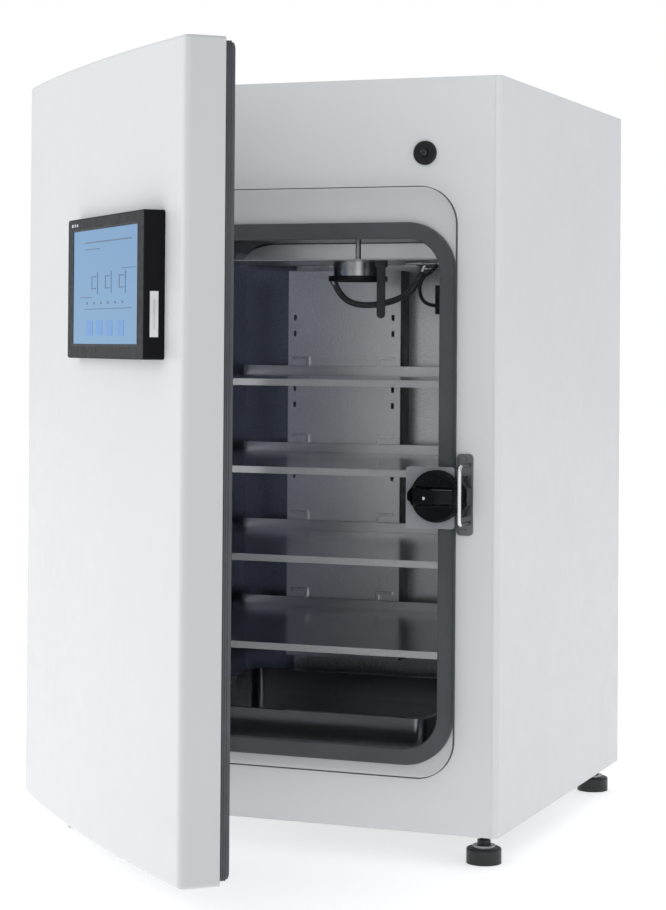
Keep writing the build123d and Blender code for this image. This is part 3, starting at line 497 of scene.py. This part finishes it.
def turned(name, profile, centre, look, body, sides=24):
    """A surface turned from (radius, height) pairs about an upright axis through centre."""
    verts, faces = [], []
    for r, h in profile:
        for i in range(sides):
            a = 2 * pi * i / sides
            verts.append((centre[0] + r * cos(a), centre[1] + r * sin(a), centre[2] + h))
    for k in range(len(profile) - 1):
        for i in range(sides):
            j = (i + 1) % sides
            faces.append([k * sides + i, k * sides + j, (k + 1) * sides + j, (k + 1) * sides + i])
    faces.append(list(range(sides - 1, -1, -1)))
    faces.append([(len(profile) - 1) * sides + i for i in range(sides)])
    split_edges(piece(name, verts, faces, look, body, smooth=True), 40)


# ---- details -------------------------------------------------------------------------
def inked(name, color, scale, other, glow_color, glow):
    """The look of lit marks on the screen."""
    look = Look(name, color, 0.3)
    look.tint(look.noise(scale), other)
    look.glow(glow_color, glow)
    return look.mat


def screen_details():
    """Generic tiles and marks on the screen, the bezel's face, its lamps and the screen's rim."""
    ink = inked("screen_ink", (0.05, 0.09, 0.16), 300, (0.07, 0.12, 0.2), (0.03, 0.055, 0.10), 0.6)
    fill = inked("screen_tile", (0.05, 0.14, 0.3), 200, (0.07, 0.17, 0.34), (0.055, 0.155, 0.34), 0.8)
    v0, v1 = SCREEN_FACE, SCREEN_FACE + 0.35
    tiles = [(u, u + 24, v0, v1, 667, 685) for u in (352, 390, 428, 470)]
    piece("screen_tiles", *bricks(tiles, at_door), fill, "outer_door", "screen")

    marks = [(345, 520, v0, v1, 777, 778.6), (345, 400, v0, v1, 769, 770.2)]    # heading
    for u in (372, 424, 476):                                                    # three gauges
        for z0, z1 in ((722, 723.4), (736, 737.4)):
            marks.append((u, u + 16, v0, v1, z0, z1))
        marks.append((u, u + 1.6, v0, v1, 722, 737))
        marks.append((u + 22, u + 23.6, v0, v1, 716, 742))
    marks += [(330, 372, v0, v1, 712, 713), (486, 536, v0, v1, 744, 745), (345, 520, v0, v1, 698, 699)]
    for i in range(6):
        marks.append((352 + 27 * i, 356 + 27 * i, v0, v1, 704, 707))
    piece("screen_marks", *bricks(marks, at_door), ink, "outer_door", "screen")

    bezel = plastic("bezel_face", (0.014, 0.015, 0.018), 0.5, specular=0.2)
    outer, inner = rounded_loop(*BEZEL, 3), rounded_loop(*SCREEN, 1)
    frame_strip("bezel_face", inner, outer, BEZEL_FACE + 0.5, BEZEL_FACE, bezel,
                "outer_door", "bezel_plastic", at_door)
    v0, v1 = BEZEL_FACE + 0.3, BEZEL_FACE + 0.65
    lamps = [(u, u + w, v0, v1, 798.5, 802) for u, w in ((293, 6), (304, 4), (313, 4))]
    piece("bezel_lights", *bricks(lamps, at_door), "hatch_plastic", "outer_door")

    u0, u1, z0, z1 = SCREEN
    v0, v1, t = BEZEL_FACE, BEZEL_FACE + 0.6, 2.6
    rim = [(u0, u1, v0, v1, z0, z0 + t), (u0, u1, v0, v1, z1 - t, z1),
           (u0, u0 + t, v0, v1, z0 + t, z1 - t), (u1 - t, u1, v0, v1, z0 + t, z1 - t)]
    piece("screen_rim", *bricks(rim, at_door), "black_plastic", "outer_door")


def door_details():
    """Ribs of the outer door's bellows seal, its pale magnetic lip and the seam round the door's edge."""
    for i, v in enumerate((-2.6, -5.6, -8.6)):
        ends = ((26, 994.9), (607.5, 994.9), (613.0, 989.4), (613.0, 70.6), (607.5, 65.1), (26, 65.1))
        tube(f"seal_rib_{i + 1}", [at_door(u, v, z) for u, z in ends], 1.1, "seal_rubber", "outer_door")
    ends = ((26, 991.5), (606, 991.5), (609.6, 988), (609.6, 72), (606, 68.5), (26, 68.5))
    tube("seal_lip", [at_door(u, -11.6, z) for u, z in ends], 0.9, "plate_plastic", "outer_door")
    seam = [(2.4, 613.6, -0.3, 0.3, 62.2, 63.2), (2.4, 613.6, -0.3, 0.3, 996.3, 997.3),
            (612.6, 613.6, -0.3, 0.3, 63.2, 996.3)]
    piece("door_seam", *bricks(seam, at_door), "black_plastic", "outer_door")


def knob():
    """Turn-knob: a round base, a crowned grip across it and a pointer with hollow sides."""
    y0 = GLASS_FRONT - 3.4
    base_r, pointer_r, base_t, grip_h = 33, 37.8, 12.0, 12.6
    tip, flank = radians(7.5), radians(24)     # half-angles of the pointer's end and of its foot
    turns, rings = 120, 30
    verts, faces = [], []

    def bow(x):
        """How much of the grip's height is left away from the axis."""
        return 1 - 0.42 * (x / base_r) ** 2

    def reach(a):
        off = abs(a % (2 * pi) - pi)
        if off < tip:
            return pointer_r / cos(off)
        if off < flank:
            return base_r + 5.1 * (1 - (off - tip) / (flank - tip)) ** 2.2
        return base_r

    def height(x, z, share):
        edge = base_t - 2.2 * max(0, (share - 0.93) / 0.07) ** 2
        width = 8.2 + 1.6 * max(0, -x / base_r)
        fall = max(0.0, min(1.0, (abs(z) - width) / 4.5))
        side = 1 - fall * fall * (3 - 2 * fall)
        end = 1 if abs(x) < 26 else max(0, 1 - (abs(x) - 26) / 7) ** 0.5
        dish = 1.6 * (1 - share * share)
        return edge - dish * (1 - side) + grip_h * bow(x) * end * side

    for k in range(rings + 1):
        share = k / rings
        for i in range(turns):
            a = 2 * pi * i / turns
            r = reach(a) * share
            x, z = r * cos(a), r * sin(a)
            verts.append((KNOB[0] + x, y0 - height(x, z, share), KNOB[1] + z))
    for i in range(turns):
        a = 2 * pi * i / turns
        verts.append((KNOB[0] + reach(a) * cos(a), y0, KNOB[1] + reach(a) * sin(a)))
    for k in range(rings + 1):
        for i in range(turns):
            j = (i + 1) % turns
            faces.append([k * turns + i, k * turns + j, (k + 1) * turns + j, (k + 1) * turns + i])
    faces.append([(rings + 1) * turns + i for i in range(turns)])
    obj = piece("knob_cap", verts, faces, "knob_plastic", "latch", smooth=True)
    split_edges(obj, 50)
    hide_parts("latch_knob")
    mark = [(KNOB[0] - 12.5, KNOB[0] - 8.0, y0 - 24.2, y0 - 22.0, KNOB[1] - 4.2, KNOB[1] + 0.3)]
    bevelled(piece("knob_mark", *bricks(mark), "hatch_plastic", "latch"), 0.8)
    # Painted highlight: a pale grey strip along the grip's upper edge.
    edge = [(KNOB[0] + x, y0 - base_t - 11.5 * bow(x), KNOB[1] + 9) for x in range(-1, 27, 3)]
    painted_glint = plastic("grip_edge_highlight", (0.10, 0.098, 0.094), 0.3)
    tube("grip_edge_highlight", edge, 0.4, painted_glint, "latch")


def latch_details():
    """A fine raised rim round the middle of the keeper plate."""
    x0, x1, z0, z1, r, t = 264.5, 279.8, 430, 511, 6, 1.1
    outer, inner = rounded_loop(x0, x1, z0, z1, r), rounded_loop(x0 + t, x1 - t, z0 + t, z1 - t, r - 1)
    frame_strip("keeper_rim", inner, outer, FRONT - 3.5, FRONT - 2.9, "keeper_steel", "cabinet")


def glass_details():
    """The pane's ground edge, dark where light can't pass."""
    edge = Look("glass_edge", (0.012, 0.022, 0.024), 0.35)
    edge.tint(edge.noise(60), (0.02, 0.034, 0.036))
    edge.rough(edge.noise(300), 0.3, 0.5)
    x0, x1, z0, z1 = PANE
    t = 0.9
    outer = rounded_loop(*PANE, PANE_R, 16)
    inner = rounded_loop(x0 + t, x1 - t, z0 + t, z1 - t, PANE_R - t, 16)
    frame_strip("pane_edge", inner, outer, GLASS_FRONT - 0.05, GLASS_BACK + 0.05, edge.mat, "glass_door",
                "seal_rubber")


def cords():
    """The sample hose and the sensor's lead, each hanging in one loop."""
    hose = [(-28.0, 6.0, 744.5), (-20.0, 6.0, 729.0), (-1.0, 5.0, 717.0), (27.0, 4.0, 714.5),
            (56.0, 5.0, 719.5), (80.0, 6.0, 729.0), (97.0, 6.0, 746.0), (104.0, 6.0, 763.0)]
    lead = [(139.0, -28.0, 714.0), (128.0, -28.0, 714.0), (115.0, -28.0, 722.0), (111.0, -28.0, 739.0),
            (117.0, -28.0, 755.0), (131.0, -28.0, 762.0), (139.0, -28.0, 772.0)]
    plan = (("gas_hose", hose, 4.5, "hose_silicone", "sample_hose", 0.164),
            ("sensor_wire", lead, 2.6, "lead_rubber", "sensor_lead", 0.087))
    for name, route, radius, look, node, length in plan:
        obj, spline = bar(name, "NURBS", route, radius, 5)
        obj.data.resolution_u = 16
        spline.order_u = 3
        spline.use_endpoint_u = True
        obj.data.materials.append(LOOKS[look])
        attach(obj, "cabinet")
        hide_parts(node)


def chamber_details():
    """A dark strip of painted shade down the duct's right side, and screws under the baffle."""
    # Painted shade: a thin dark strip on the duct's right side face.
    strip = [(19.9, 20.7, 151, 186.5, 191, 769)]
    side_shade = plastic("duct_side_shade", (0.045, 0.048, 0.054), 0.5)
    piece("duct_shade_strip", *bricks(strip), side_shade, "cabinet", "seal_rubber")
    for i, (x, y) in enumerate(((-180, 60), (-150, 120), (150, 60))):
        head = [(4, 0), (4, -1), (2.6, -2.2), (1.2, -2.6)]
        turned(f"baffle_screw_{i + 1}", head, (x, y, 777), "fan_steel", "cabinet")


def screw_recesses():
    """Cross recesses in the rear cover's screws."""
    long, half = 2.4, 0.5
    cuts = []
    for z in (60, 280, 500, 720, 880):
        for x in (-303, 303):
            cuts.append((x - long, x + long, 303.0, 303.4, z - half, z + half))
            cuts.append((x - half, x + half, 303.0, 303.4, z - long, z + long))
    piece("screw_recesses", *bricks(cuts), "black_plastic", "cabinet")


# ---- studio ----------------------------------------------------------------------------
def area_light(name, place, target, size, power):
    """A soft rectangular lamp, aimed at a point; metres and watts."""
    data = bpy.data.lights.new(name, "AREA")
    data.shape = "RECTANGLE"
    data.size, data.size_y = size
    data.energy = power
    light = bpy.data.objects.new(name, data)
    light.location = place
    light.rotation_euler = (Vector(target) - Vector(place)).to_track_quat("-Z", "Y").to_euler()
    bpy.context.scene.collection.objects.link(light)


def studio():
    """A pale floor, a soft white surround, fainter to the right, and lamps outside and inside."""
    mesh = bpy.data.meshes.new("floor")
    half = 14
    corners = [(-half, -half, 0), (half, -half, 0), (half, half, 0), (-half, half, 0)]
    mesh.from_pydata(corners, [], [(0, 1, 2, 3)])
    floor = bpy.data.objects.new("floor", mesh)
    bpy.context.scene.collection.objects.link(floor)
    look = Look("floor_paper", (0.90, 0.90, 0.90), 0.8)
    look.tint(look.noise(1.5), (0.885, 0.885, 0.887))
    look.glow((1, 1, 1), 0.52)
    mesh.materials.append(look.mat)

    world = bpy.data.worlds.new("studio")
    bpy.context.scene.world = world
    world.use_nodes = True
    nodes, links = world.node_tree.nodes, world.node_tree.links
    background = nodes["Background"]
    background.inputs["Color"].default_value = (0.97, 0.985, 1.0, 1)
    sky = nodes.new("ShaderNodeSeparateXYZ")
    links.new(nodes.new("ShaderNodeTexCoord").outputs["Generated"], sky.inputs["Vector"])
    fade = nodes.new("ShaderNodeMapRange")
    fade.interpolation_type = "SMOOTHSTEP"
    for key, number in (("From Min", 0.0), ("From Max", 1.0), ("To Min", 0.78), ("To Max", 0.56)):
        fade.inputs[key].default_value = number
    links.new(sky.outputs["X"], fade.inputs["Value"])
    links.new(fade.outputs["Result"], background.inputs["Strength"])
    seen = nodes.new("ShaderNodeBackground")
    seen.inputs["Color"].default_value = (1, 1, 1, 1)
    seen.inputs["Strength"].default_value = 1.0
    mix = nodes.new("ShaderNodeMixShader")
    links.new(nodes.new("ShaderNodeLightPath").outputs["Is Camera Ray"], mix.inputs["Fac"])
    links.new(background.outputs["Background"], mix.inputs[1])
    links.new(seen.outputs["Background"], mix.inputs[2])
    links.new(mix.outputs["Shader"], nodes["World Output"].inputs["Surface"])

    area_light("key", (-3.6, -2.6, 2.4), (-0.1, -0.5, 0.5), (2.4, 2.4), 24)
    area_light("fill", (2.0, -4.6, 2.0), (0.1, 0.0, 0.5), (2.6, 2.0), 17)
    area_light("air_space", (-0.02, -0.045, 0.795), (-0.02, 0.15, 0.799), (0.40, 0.016), 0.027)
    area_light("chamber", (-0.145, -0.335, 0.59), (-0.145, 0.15, 0.59), (0.19, 0.38), 0.075)

    bpy.context.scene.view_settings.view_transform = "Standard"


make_camera()
studio()
dress_cad()
cords()
screen_details()
door_details()
knob()
latch_details()
glass_details()
chamber_details()
screw_recesses()
